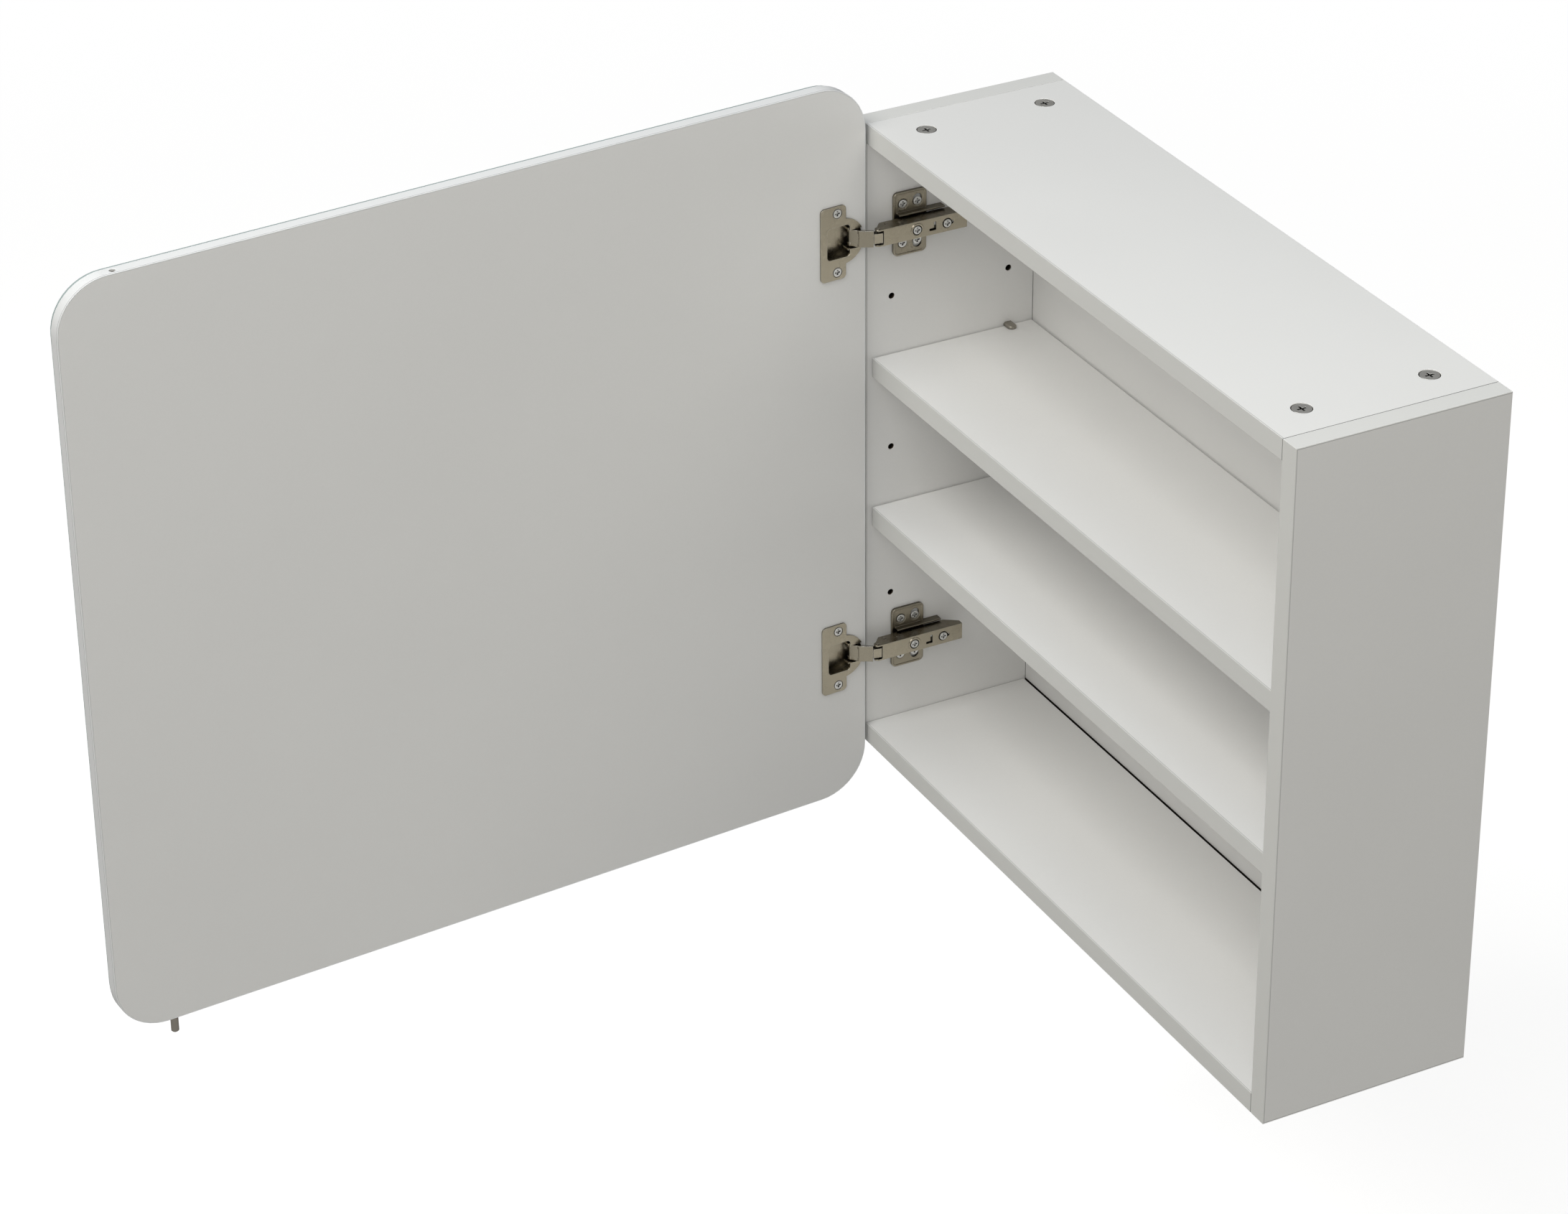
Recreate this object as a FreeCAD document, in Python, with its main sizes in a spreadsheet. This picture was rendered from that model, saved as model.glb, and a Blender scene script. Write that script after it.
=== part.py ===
import FreeCAD, Part
import os
import re
import Sketcher

# Mirror cabinet: a wall cabinet with two shelves behind one mirror door, in millimetres.
# The origin is midway between the two hanging keyholes, on the wall plane. X runs to the right,
# Y back to the wall and Z up. The door hangs on the left side and is drawn standing open.

V = FreeCAD.Vector
doc = FreeCAD.newDocument("mirror_cabinet")

SIZES = {
    # Carcass boards and the back panel in its grooves
    "body_width": 592,
    "body_height": 530,
    "body_depth": 168,
    "board": 16,
    "back_thick": 3,
    "back_gap": 20,
    "groove_deep": 6,
    "groove_play": 0.2,
    "bottom_gap": 1.8,
    "hang_drop": 50,
    # Peg holes, counted up from the bottom of the carcass, and the shelves they carry
    "peg_wide": 5,
    "peg_deep": 11,
    "peg_play": 1,
    "row_low": 128,
    "row_pitch": 64,
    "row_front": 22,
    "row_rear": 22,
    "shelf_thick": 16,
    "shelf_set_back": 5,
    "shelf_end_play": 1,
    "shelf_rear_play": 1.5,
    "tongue_long": 9,
    "tongue_wide": 9,
    "pad_long": 10,
    "pad_wide": 7.4,
    "pad_thick": 2.8,
    "pad_taper": 1.1,
    # Cam locks, their bolts, and dowels at the four corners
    "cam_wide": 15,
    "cam_deep": 12.5,
    "cam_reach": 30,
    "cam_edge": 34,
    "cam_ring": 0.6,
    "cam_ring_deep": 1.5,
    "cam_sink": 0.3,
    "bolt_wide": 6,
    "bolt_neck": 4.5,
    "bolt_head": 5,
    "bolt_seat": 10,
    "bolt_play": 0.3,
    "dowel_wide": 8,
    "dowel_long": 30,
    "dowel_seat": 10,
    "dowel_taper": 1,
    "cross_long": 7,
    "cross_wide": 1.6,
    "cross_deep": 2.5,
    # Hanging brackets with keyholes, and their screws
    "bracket_thick": 2,
    "bracket_high": 56,
    "bracket_deep": 16,
    "bracket_wide": 36,
    "bracket_round": 3,
    "key_in": 20,
    "key_wide": 10,
    "key_slot": 5.2,
    "key_rise": 10,
    "bracket_screw_rise": 18,
    # Countersunk wood screws of the brackets, the mounting plates and the cups
    "screw_core": 3.5,
    "screw_head": 7,
    "screw_head_deep": 1.8,
    "screw_ring": 0.6,
    "screw_ring_deep": 0.5,
    "screw_point": 3,
    "screw_long": 14,
    "cup_screw_long": 9,
    "drive_wide": 1.3,
    "drive_long": 4.2,
    "drive_deep": 1.1,
    # Hinge places and the mounting plate
    "hinge_drop": 87,
    "plate_front": 22,
    "plate_wide": 28,
    "plate_high": 52,
    "plate_thick": 2,
    "plate_round": 4,
    "plate_screw_front": 30,
    "plate_screw_rear": 42.5,
    "plate_screw_rise": 16,
    "plate_slot": 2.4,
    "wing_rim": 1.5,
    "wing_rim_rise": 0.5,
    "lip_gap": 1.2,
    "lip_thick": 1.4,
    "lip_rise": 4.5,
    "lip_short": 3,
    "tab_long": 13.5,
    "bridge_front": 26,
    "bridge_long": 39,
    "bridge_wide": 9.8,
    "bridge_thick": 1.8,
    # Hinge arm
    "arm_out": 17,
    "arm_rear": 76.6,
    "arm_high": 13.7,
    "arm_thick": 1.25,
    "flange_in": 5,
    "flange_tail": 12,
    "tail_slope": 10.5,
    "throat_back": 8,
    "adjust_front": 34,
    "adjust_rear": 59.6,
    "adjust_core": 4,
    "adjust_head": 6.4,
    "adjust_head_high": 1.9,
    "adjust_long": 11,
    "adjust_play": 1.4,
    "boss_wide": 10.8,
    "boss_rise": 0.6,
    "ell_front": 44.6,
    "ell_wide": 5.6,
    "ell_high": 6.8,
    "ell_stroke": 1.8,
    "ell_room": 1,
    "key_tail": 4.4,
    "key_tail_wide": 2.6,
    "rivet_wide": 1.8,
    "rivet_rise": 0.35,
    "rivet_off": 6,
    # Hinge pivots in the arm, and the two links
    "pivot_out": 14,
    "pivot_back": 3,
    "inner_out": 8.5,
    "inner_back": 12,
    "pin_wide": 2.4,
    "pin_play": 0.05,
    "pin_rivet": 0.4,
    "barrel_wide": 4.6,
    "link_thick": 1.6,
    "link_high": 13.4,
    "knuckle_high": 7.8,
    "knuckle_rear": 2.2,
    "slit": 0.6,
    "heel_out": 1,
    "heel_front": 4.6,
    "toe_out": 7,
    "toe_back": 4,
    "ear_gap": 8.4,
    "eye_wide": 4.4,
    "cover_thick": 0.8,
    "cover_inset": 0.25,
    "inner_thick": 1.2,
    "inner_high": 6.4,
    "knee_out": 2.1,
    "knee_front": 14.2,
    "shin_out": 0.6,
    "shin_front": 17.5,
    "hook_out": 4.2,
    "hook_back": 2.1,
    "tip_out": 2.3,
    "tip_drop": 0.1,
    # Hinge cup in the door, with its pins
    "cup_in": 20.9,
    "cup_wide": 35,
    "cup_deep": 9,
    "cup_wall": 0.5,
    "cup_play": 0.1,
    "rim_wide": 37,
    "flange_near": 18,
    "flange_wide": 22,
    "flange_high": 60,
    "flange_thick": 1.3,
    "flange_round": 3.5,
    "window_far": 34.4,
    "window_high": 26,
    "window_round": 3,
    "band_high": 15.6,
    "band_run": 17.5,
    "cheek_thick": 1.4,
    "cheek_run": 15.5,
    "cheek_deep": 7,
    "cup_screw_in": 25.5,
    "cup_screw_rise": 24,
    "cup_pin_wide": 2,
    "pin_in": 11.3,
    "pin_deep": 3.5,
    "tip_pin_in": 7,
    "tip_pin_deep": 2.2,
    "tip_pin_hold": 0.8,
    # Door, drawn open by rest_open degrees; each outer link turns by link_share of that
    "rest_open": 86,
    "link_share": 0.4,
    "door_lap": 0.5,
    "door_gap": 2,
    "door_wide": 643,
    "overhang": 38,
    "door_round": 40,
    "door_board": 10,
    "band_thick": 1,
    "glue_thick": 0.5,
    "glue_inset": 12,
    "mirror_thick": 3,
    "mirror_inset": 1,
    "pull_edge": 46,
    "pull_wide": 6,
    "pull_drop": 14,
    "pull_round": 0.8,
    "pull_peg": 4.5,
    "pull_seat": 20,
    "pull_play": 1,
}

sheet = doc.addObject("Spreadsheet::Sheet", "Sizes")
for row, (word, number) in enumerate(SIZES.items(), start=1):
    sheet.set("A%d" % row, word)
    sheet.set("B%d" % row, str(number))
    sheet.setAlias("B%d" % row, word)
doc.recompute()


# Helpers that tie shapes to the sheet

def cells(text):
    """Point each size word in an expression at its cell."""
    def cell(match):
        word = match.group()
        return "Sizes." + word if word in SIZES else word
    return re.sub(r"[a-z_]+", cell, text)


def bind(piece, name, text):
    piece.setExpression(name, cells(text))


def value(text):
    return float(sheet.evalExpression(cells(text)))


def place(piece, at, turn=FreeCAD.Rotation()):
    """Hold a piece at three bound coordinates, with a fixed turn."""
    piece.Placement = FreeCAD.Placement(V(), turn)
    for axis, text in zip("xyz", at):
        bind(piece, "Placement.Base." + axis, text)
    return piece


# Turns that take a piece's own Z axis to another direction
TURNS = {
    "z": FreeCAD.Rotation(),
    "-z": FreeCAD.Rotation(V(1, 0, 0), 180),
    "x": FreeCAD.Rotation(V(0, 1, 0), 90),
    "-x": FreeCAD.Rotation(V(0, 1, 0), -90),
    "y": FreeCAD.Rotation(V(1, 0, 0), -90),
    "-y": FreeCAD.Rotation(V(1, 0, 0), 90),
}
HALF_TURN = FreeCAD.Rotation(V(0, 0, 1), 180)
NORMALS = {"XY_Plane": V(0, 0, 1), "XZ_Plane": V(0, 1, 0), "YZ_Plane": V(1, 0, 0)}
NONE = ("0", "0", "0")
# An edge whose direction has more than this share of a plane's normal stands square to the plane
SQUARE = 0.5


def box(name, size, corner):
    piece = doc.addObject("Part::Box", name)
    for side, text in zip(("Length", "Width", "Height"), size):
        bind(piece, side, text)
    return place(piece, corner)


def rod(name, wide, length, start, along="z"):
    piece = doc.addObject("Part::Cylinder", name)
    bind(piece, "Radius", "(%s) / 2" % wide)
    bind(piece, "Height", length)
    return place(piece, start, TURNS[along])


def cone(name, wide_low, wide_high, length, start, along="z"):
    piece = doc.addObject("Part::Cone", name)
    bind(piece, "Radius1", "(%s) / 2" % wide_low)
    bind(piece, "Radius2", "(%s) / 2" % wide_high)
    bind(piece, "Height", length)
    return place(piece, start, TURNS[along])


def join(name, pieces):
    whole = doc.addObject("Part::MultiFuse", name)
    whole.Shapes = pieces
    whole.Refine = True
    return whole


def carve(name, base, tools):
    cut = doc.addObject("Part::Cut", name)
    cut.Base = base
    cut.Tool = tools[0] if len(tools) == 1 else join(name + "_room", tools)
    cut.Refine = True
    return cut


def overlap(name, first, second):
    common = doc.addObject("Part::Common", name)
    common.Base = first
    common.Tool = second
    return common


def outline(body, role, corners, offset=NONE):
    """A closed sketch of straight lines, each corner held to the sheet by two distances."""
    sketch = body.newObject("Sketcher::SketchObject", body.Name + "_outline")
    plane = next(part for part in body.Origin.OriginFeatures if part.Role == role)
    sketch.AttachmentSupport = [(plane, "")]
    sketch.MapMode = "FlatFace"
    for axis, text in zip("xyz", offset):
        bind(sketch, "AttachmentOffset.Base." + axis, text)
    points = [V(value(across), value(up), 0) for across, up in corners]
    count = len(points)
    for index in range(count):
        sketch.addGeometry(Part.LineSegment(points[index], points[(index + 1) % count]), False)
    for index in range(count):
        sketch.addConstraint(Sketcher.Constraint("Coincident", index, 2, (index + 1) % count, 1))
    for index, corner in enumerate(corners):
        for kind, text in zip(("DistanceX", "DistanceY"), corner):
            number = sketch.addConstraint(Sketcher.Constraint(kind, -1, 1, index, 1, value(text)))
            bind(sketch, "Constraints[%d]" % number, text)
    return sketch


def prism(name, role, corners, thick, offset=NONE):
    """A straight-sided piece of sheet or board, padded from one of its body's own planes."""
    body = doc.addObject("PartDesign::Body", name)
    pad = body.newObject("PartDesign::Pad", name + "_pad")
    pad.Profile = outline(body, role, corners, offset)
    bind(pad, "Length", thick)
    body.Tip = pad
    return body


def plate(name, role, low, high, thick, rounding, offset=NONE):
    """A rectangular plate whose four corners are rounded."""
    corners = [(low[0], low[1]), (high[0], low[1]), (high[0], high[1]), (low[0], high[1])]
    body = prism(name, role, corners, thick, offset)
    doc.recompute()
    pad = body.Tip
    names = []
    for index, edge in enumerate(pad.Shape.Edges, start=1):
        if abs(edge.tangentAt(edge.FirstParameter).dot(NORMALS[role])) > SQUARE:
            names.append("Edge%d" % index)
    fillet = body.newObject("PartDesign::Fillet", name + "_corners")
    fillet.Base = (pad, names)
    bind(fillet, "Radius", rounding)
    body.Tip = fillet
    return body


def turned(name, profile, offset=NONE):
    """A round piece, turned about its own Z axis from a half profile of radius and height."""
    body = doc.addObject("PartDesign::Body", name)
    sketch = outline(body, "XZ_Plane", profile, offset)
    turn = body.newObject("PartDesign::Revolution", name + "_turn")
    turn.Profile = sketch
    turn.ReferenceAxis = (sketch, ["V_Axis"])
    turn.Angle = 360
    body.Tip = turn
    return body


def strip(name, path, thick, low, high):
    """Bent sheet metal that follows a path of points seen from above, with round bends."""
    tall = "(%s) - (%s)" % (high, low)
    pieces = []
    for step, (start, end) in enumerate(zip(path[:-1], path[1:])):
        run = ("((%s) - (%s))" % (end[0], start[0]), "((%s) - (%s))" % (end[1], start[1]))
        angle = "atan2(%s; %s)" % (run[1], run[0])
        corner = (
            "%s + %s / 2 * sin(%s)" % (start[0], thick, angle),
            "%s - %s / 2 * cos(%s)" % (start[1], thick, angle),
            low,
        )
        leg = box("%s_leg%d" % (name, step), ("hypot(%s; %s)" % run, thick, tall), corner)
        leg.Placement.Rotation.Axis = V(0, 0, 1)
        bind(leg, "Placement.Rotation.Axis.x", "0")
        bind(leg, "Placement.Rotation.Axis.z", "1")
        bind(leg, "Placement.Rotation.Angle", angle)
        pieces.append(leg)
        pieces.append(rod("%s_bend%d" % (name, step), thick, tall, (end[0], end[1], low)))
    return pieces


def group(name, original, places):
    """Copies of one fastener, kept as separate solids of one node."""
    copies = []
    for number, (at, turn) in enumerate(places):
        copy = doc.addObject("App::Link", "%s_copy%d" % (name, number))
        copy.LinkedObject = original
        copy.LinkTransform = False
        copies.append(place(copy, at, turn))
    whole = doc.addObject("Part::Compound", name)
    whole.Links = copies
    return whole


NODES = []


def node(label, piece):
    piece.Label = label
    NODES.append(piece)
    return piece


# Main planes of the carcass
INSIDE = "(body_width / 2 - board)"
FRONT = "(-body_depth)"
TOP = "hang_drop"
BOTTOM = "(hang_drop - body_height)"
BACK_FACE = "(-back_gap - back_thick)"
MID_DEPTH = "(-body_depth / 2)"
CAM_DEPTHS = ("(cam_edge - body_depth)", "(-cam_edge)")
JOINT_LEVELS = ("(%s - board / 2)" % TOP, "(%s + board / 2)" % BOTTOM)
SIDES = {"left": -1, "right": 1}
UP_DOWN = {"high": 1, "low": -1}

# Peg holes in two columns of five rows; the shelves lie on the second and fourth rows
ROWS = ["(%s + row_low + %d * row_pitch)" % (BOTTOM, step) for step in range(5)]
COLUMNS = ("(row_front - body_depth)", "(%s - row_rear)" % BACK_FACE)
SHELF_LEVELS = {"lower": ROWS[1], "upper": ROWS[3]}
STOP_LEVELS = ["(%s + shelf_thick)" % level for level in SHELF_LEVELS.values()]

# Hinges, measured from the inner front edge of the left side
HINGE_X = "(-%s)" % INSIDE
HINGE_LEVELS = {"upper": "(%s - hinge_drop)" % TOP, "lower": "(%s + hinge_drop)" % BOTTOM}
PLATE_SCREW_DEPTHS = ("plate_screw_front", "plate_screw_rear")


def side_bore(name, side, wide, deep, depth, level):
    """A hole from a side board's inner face straight into the board."""
    start = INSIDE if side > 0 else "(-%s - (%s))" % (INSIDE, deep)
    return rod(name, wide, deep, (start, depth, level), "x")


def side_board(label, side):
    """Full-height side board with its groove, peg holes and fastener holes."""
    outer = INSIDE if side > 0 else "(-body_width / 2)"
    board = box(label + "_board", ("board", "body_depth", "body_height"), (outer, FRONT, BOTTOM))
    groove_start = INSIDE if side > 0 else "(-%s - groove_deep)" % INSIDE
    bores = [box(
        label + "_groove",
        ("groove_deep", "back_thick + 2 * groove_play", "body_height - 2 * board + 2 * groove_deep"),
        (groove_start, "%s - groove_play" % BACK_FACE, "%s + board - groove_deep" % BOTTOM),
    )]
    for depth in COLUMNS:
        for level in ROWS:
            bores.append(side_bore(label + "_peg", side, "peg_wide", "peg_deep", depth, level))
    for level in STOP_LEVELS:
        bores.append(side_bore(label + "_stop", side, "peg_wide", "peg_deep", COLUMNS[1], level))
    for level in JOINT_LEVELS:
        for depth in CAM_DEPTHS:
            bores.append(side_bore(label + "_bolt", side, "bolt_wide", "bolt_seat", depth, level))
        bores.append(side_bore(label + "_dowel", side, "dowel_wide", "dowel_seat", MID_DEPTH, level))
    for sign in UP_DOWN.values():
        bores.append(side_bore(
            label + "_bracket", side, "screw_core", "screw_long - bracket_thick",
            "-bracket_deep / 2", "%d * bracket_screw_rise" % sign,
        ))
    if side < 0:
        for level in HINGE_LEVELS.values():
            for depth in PLATE_SCREW_DEPTHS:
                for sign in UP_DOWN.values():
                    bores.append(side_bore(
                        label + "_plate", side, "screw_core", "screw_long - plate_thick",
                        "%s + %s" % (FRONT, depth), "%s + %d * plate_screw_rise" % (level, sign),
                    ))
    return node(label, carve(label + "_cut", board, bores))


def cross_panel(label, low, cam_low, groove_low, front_gap):
    """Top or bottom board between the sides, bored for cams, bolts and dowels."""
    board = box(label + "_board", ("2 * " + INSIDE, "body_depth", "board"), ("-" + INSIDE, FRONT, low))
    bores = [box(
        label + "_groove",
        ("2 * " + INSIDE, "back_thick + groove_play + %s" % front_gap, "groove_deep"),
        ("-" + INSIDE, "%s - %s" % (BACK_FACE, front_gap), groove_low),
    )]
    level = "%s + board / 2" % low
    rest = "(dowel_long - dowel_seat)"
    for side in SIDES.values():
        for depth in CAM_DEPTHS:
            cam_at = ("%d * (%s - cam_reach)" % (side, INSIDE), depth, cam_low)
            bores.append(rod(label + "_cam", "cam_wide", "cam_deep", cam_at))
            bolt_start = "-%s" % INSIDE if side < 0 else "%s - cam_reach" % INSIDE
            bores.append(rod(
                label + "_bolt", "bolt_wide + 2 * bolt_play", "cam_reach", (bolt_start, depth, level), "x",
            ))
        dowel_start = "-%s" % INSIDE if side < 0 else "%s - %s" % (INSIDE, rest)
        bores.append(rod(label + "_dowel", "dowel_wide", rest, (dowel_start, MID_DEPTH, level), "x"))
    return node(label, carve(label + "_cut", board, bores))


def back_panel():
    """Thin panel held in the grooves of the four boards."""
    hold = "(groove_deep - groove_play)"
    size = (
        "2 * (%s + %s)" % (INSIDE, hold), "back_thick", "body_height - 2 * board + 2 * %s" % hold,
    )
    corner = ("-%s - %s" % (INSIDE, hold), BACK_FACE, "%s + board - %s" % (BOTTOM, hold))
    return node("back_panel", box("back_sheet", size, corner))


def shelf(name, level):
    """Loose shelf on four supports, set back from the front edges."""
    size = (
        "2 * (%s - shelf_end_play)" % INSIDE,
        "body_depth - shelf_set_back - back_gap - back_thick - shelf_rear_play",
        "shelf_thick",
    )
    corner = ("shelf_end_play - %s" % INSIDE, "%s + shelf_set_back" % FRONT, level)
    return node(name + "_shelf", box(name + "_shelf_board", size, corner))


def pegs_and_stops():
    """Supports with a half-round tongue under the shelves, and flat pads on pegs that keep them down."""
    seat = "(peg_deep - peg_play)"
    tongue = carve(
        "tongue",
        rod("tongue_rod", "tongue_wide", "tongue_long", NONE, "x"),
        [box("tongue_top", ("tongue_long", "tongue_wide", "tongue_wide"), ("0", "-tongue_wide / 2", "0"))],
    )
    support = join("support", [rod("support_peg", "peg_wide", seat, ("-" + seat, "0", "0"), "x"), tongue])
    half = [
        ("pad_wide / 2", "0"), ("pad_wide / 2", "pad_thick - pad_taper"),
        ("pad_wide / 2 - pad_taper", "pad_thick"),
    ]
    other_half = [("-(%s)" % across, rise) for across, rise in reversed(half)]
    pad_straight = "(pad_long - pad_wide / 2)"
    pad_end = place(turned("pad_end", [("0", "0")] + half + [("0", "pad_thick")]), (pad_straight, "0", "0"))
    stop = join("stop", [
        rod("stop_peg", "peg_wide", seat, ("-" + seat, "0", "0"), "x"),
        prism("pad", "YZ_Plane", half + other_half, pad_straight, NONE),
        pad_end,
    ])
    support_places = []
    stop_places = []
    for side in SIDES.values():
        face = "%d * %s" % (side, INSIDE)
        turn = FreeCAD.Rotation() if side < 0 else HALF_TURN
        for level in SHELF_LEVELS.values():
            for depth in COLUMNS:
                support_places.append(((face, depth, level), turn))
        for level in STOP_LEVELS:
            stop_places.append(((face, COLUMNS[1], level), turn))
    node("shelf_supports", group("support_set", support, support_places))
    node("shelf_stops", group("stop_set", stop, stop_places))


def corner_fittings():
    """Cam locks let into the top and bottom boards, the bolts they draw on, and plain dowels."""
    head = "cam_wide / 2 - cam_ring"
    shoulder = "cam_deep - cam_ring_deep"
    disc = turned("cam_disc", [
        ("0", "0"), ("cam_wide / 2", "0"), ("cam_wide / 2", shoulder), (head, shoulder),
        (head, "cam_deep - cam_sink"), ("0", "cam_deep - cam_sink"),
    ])
    cross_low = "cam_deep - cross_deep"
    cam = carve("cam", disc, [
        rod("cam_pocket", "bolt_wide + 2 * bolt_play", "cam_wide / 2",
            ("-cam_wide / 2", "0", "cam_deep - board / 2"), "x"),
        box("cam_cross_a", ("cross_long", "cross_wide", "cross_deep"),
            ("-cross_long / 2", "-cross_wide / 2", cross_low)),
        box("cam_cross_b", ("cross_wide", "cross_long", "cross_deep"),
            ("-cross_wide / 2", "-cross_long / 2", cross_low)),
    ])
    neck_end = "(bolt_seat + cam_reach - bolt_head)"
    bolt_end = "(bolt_seat + cam_reach)"
    bolt = turned("bolt", [
        ("0", "0"), ("bolt_wide / 2", "0"), ("bolt_wide / 2", "bolt_seat"), ("bolt_neck / 2", "bolt_seat"),
        ("bolt_neck / 2", neck_end), ("bolt_wide / 2", neck_end), ("bolt_wide / 2", bolt_end),
        ("0", bolt_end),
    ])
    thin = "dowel_wide / 2 - dowel_taper"
    dowel = turned("dowel", [
        ("0", "0"), (thin, "0"), ("dowel_wide / 2", "dowel_taper"),
        ("dowel_wide / 2", "dowel_long - dowel_taper"), (thin, "dowel_long"), ("0", "dowel_long"),
    ])
    cams = {"top": [], "bottom": []}
    bolts = []
    dowels = []
    flip = TURNS["-z"]
    for side in SIDES.values():
        around = FreeCAD.Rotation() if side < 0 else HALF_TURN
        inward = TURNS["x" if side < 0 else "-x"]
        cam_x = "%d * (%s - cam_reach)" % (side, INSIDE)
        for depth in CAM_DEPTHS:
            cams["top"].append(((cam_x, depth, "%s - cam_deep" % TOP), around))
            cams["bottom"].append(((cam_x, depth, "%s + cam_deep" % BOTTOM), around.multiply(flip)))
            for level in JOINT_LEVELS:
                bolts.append((("%d * (%s + bolt_seat)" % (side, INSIDE), depth, level), inward))
        for level in JOINT_LEVELS:
            dowels.append((("%d * (%s + dowel_seat)" % (side, INSIDE), MID_DEPTH, level), inward))
    node("top_cam_locks", group("top_cam_set", cam, cams["top"]))
    node("bottom_cam_locks", group("bottom_cam_set", cam, cams["bottom"]))
    node("cam_bolts", group("bolt_set", bolt, bolts))
    node("dowels", group("dowel_set", dowel, dowels))


def screw(name, long):
    """Countersunk screw along Z, its head's top at zero, with a cross drive."""
    stem = turned(name + "_stem", [
        ("0", "-(%s)" % long), ("screw_core / 2", "screw_point - (%s)" % long),
        ("screw_core / 2", "-screw_head_deep"), ("screw_head / 2", "0"), ("0", "0"),
    ])
    return carve(name, stem, drive(name, "0"))


def drive(name, top):
    """Two crossed slots that end at the given height."""
    low = "%s - drive_deep" % top
    return [
        box(name + "_slot_a", ("drive_long", "drive_wide", "drive_deep"),
            ("-drive_long / 2", "-drive_wide / 2", low)),
        box(name + "_slot_b", ("drive_wide", "drive_long", "drive_deep"),
            ("-drive_wide / 2", "-drive_long / 2", low)),
    ]


def countersink(name, thick, at, along):
    """Room for a countersunk head flush with a plate, for a shallow ring around it and for its stem."""
    ring_at = list(at)
    axis = "xyz".index(along[-1])
    sign = "-" if along.startswith("-") else "+"
    ring_at[axis] = "%s %s (screw_head_deep - screw_ring_deep)" % (at[axis], sign)
    return [
        cone(name + "_seat", "screw_core", "screw_head", "screw_head_deep", at, along),
        rod(name + "_ring", "screw_head + 2 * screw_ring", "screw_ring_deep", tuple(ring_at), along),
        rod(name + "_stem", "screw_core", thick, at, {"x": "-x", "-x": "x", "y": "-y"}[along]),
    ]


def wall_bracket(label, side):
    """Bent steel hanger behind the back panel: one leg on the side board, one leg with a keyhole."""
    wall = "bracket_thick" if side > 0 else "0"
    low = "-bracket_high / 2"
    side_leg = box(
        label + "_leg", ("bracket_thick", "bracket_deep", "bracket_high"),
        ("%d * %s - %s" % (side, INSIDE, wall), "-bracket_deep", low),
    )
    near = "%s - bracket_wide" % INSIDE if side > 0 else "-%s" % INSIDE
    wall_leg = plate(
        label + "_wall", "XZ_Plane", (near, low), ("%s + bracket_wide" % near, "bracket_high / 2"),
        "bracket_thick", "bracket_round",
    )
    key_x = "%d * (%s - key_in)" % (side, INSIDE)
    back = "-bracket_thick"
    room = [
        rod(label + "_key", "key_wide", "bracket_thick", (key_x, back, "0"), "y"),
        box(label + "_slot", ("key_slot", "bracket_thick", "key_rise"),
            ("%s - key_slot / 2" % key_x, back, "0")),
        rod(label + "_rest", "key_slot", "bracket_thick", (key_x, back, "key_rise"), "y"),
    ]
    along = "-x" if side > 0 else "x"
    for word, sign in UP_DOWN.items():
        seat = (
            "%d * (%s - bracket_thick + screw_head_deep)" % (side, INSIDE),
            "-bracket_deep / 2", "%d * bracket_screw_rise" % sign,
        )
        room += countersink("%s_%s" % (label, word), "bracket_thick", seat, along)
    return node(label, carve(label + "_cut", join(label + "_bent", [side_leg, wall_leg]), room))


def bracket_screws(original):
    places = []
    for side in SIDES.values():
        for sign in UP_DOWN.values():
            at = ("%d * (%s - bracket_thick)" % (side, INSIDE), "-bracket_deep / 2",
                  "%d * bracket_screw_rise" % sign)
            places.append((at, TURNS["-x" if side > 0 else "x"]))
    return node("bracket_screws", group("bracket_screw_set", original, places))


# Hinge geometry seen from above, in the hinge's own frame: x off the side's face, y behind its front
ARM_IN = "(arm_out - arm_thick)"
WEB_FRONT = "(pivot_back + knuckle_rear + slit)"
SWING = "(link_share * rest_open)"
PIN_RUN = "(pin_in - door_lap - board - pivot_out)"
PIN_FALL = "(-door_gap - pin_deep - pivot_back)"
PIN = (
    "(pivot_out + %s * cos(%s) - %s * sin(%s))" % (PIN_RUN, SWING, PIN_FALL, SWING),
    "(pivot_back + %s * sin(%s) + %s * cos(%s))" % (PIN_RUN, SWING, PIN_FALL, SWING),
)
DOOR_EDGE = (
    "(%s - pin_in * cos(rest_open) + pin_deep * sin(rest_open))" % PIN[0],
    "(%s + pin_in * sin(rest_open) + pin_deep * cos(rest_open))" % PIN[1],
)
TIP_PIN = (
    "(%s + tip_pin_in * cos(rest_open) - tip_pin_deep * sin(rest_open))" % DOOR_EDGE[0],
    "(%s - tip_pin_in * sin(rest_open) - tip_pin_deep * cos(rest_open))" % DOOR_EDGE[1],
)


def on_side(label, level, piece):
    """A finished hinge piece goes to its height on the left side board."""
    return node(label, place(piece, (HINGE_X, FRONT, level)))


def on_door(label, level, piece):
    """A finished door piece turns open with the door."""
    place(piece, ("%s + %s" % (HINGE_X, DOOR_EDGE[0]), "%s + %s" % (FRONT, DOOR_EDGE[1]), level))
    bind(piece, "Placement.Rotation.Axis.x", "0")
    bind(piece, "Placement.Rotation.Axis.z", "1")
    bind(piece, "Placement.Rotation.Angle", "-rest_open")
    return node(label, piece)


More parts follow.
